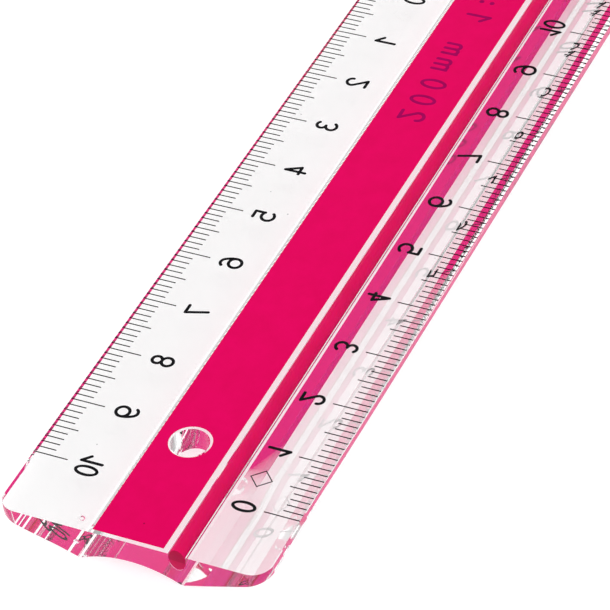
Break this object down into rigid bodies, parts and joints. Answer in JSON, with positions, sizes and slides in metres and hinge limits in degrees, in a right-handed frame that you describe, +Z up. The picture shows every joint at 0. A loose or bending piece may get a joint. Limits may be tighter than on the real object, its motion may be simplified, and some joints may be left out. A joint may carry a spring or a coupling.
{
  "type": "flat scale ruler",
  "caption": "Clear drafting ruler with two bevelled drawing edges, a coloured printed panel, a finger trough underneath and a soft anti-slip cord along its printed face.",
  "frame": {"origin": "under the middle of the ruler, at the height of the two ridges it lies on", "axes": "+X along the ruler away from the hanging hole, +Y across towards the centre-zero scale, +Z up through the printed face"},
  "size_m": [0.2204, 0.0358, 0.0056],
  "materials": {
    "clear_acrylic": "clear polished acrylic",
    "soft_cord": "soft translucent magenta silicone",
    "magenta_print": "magenta screen print under the blade's back face",
    "purple_print": "dark purple screen print",
    "black_print": "black screen print"
  },
  "bodies": {
    "root": {"blade": "clear_acrylic", "grip_cord": "soft_cord", "colour_panel": "magenta_print", "panel_legend": "purple_print", "origin_mark": "black_print", "centre_scale_mm_ticks": "black_print", "centre_scale_5mm_ticks": "black_print", "centre_scale_cm_ticks": "black_print", "centre_scale_numerals": "black_print", "zero_scale_mm_ticks": "black_print", "zero_scale_5mm_ticks": "black_print", "zero_scale_cm_ticks": "black_print", "zero_scale_numerals": "black_print"}
  },
  "joints": []
}
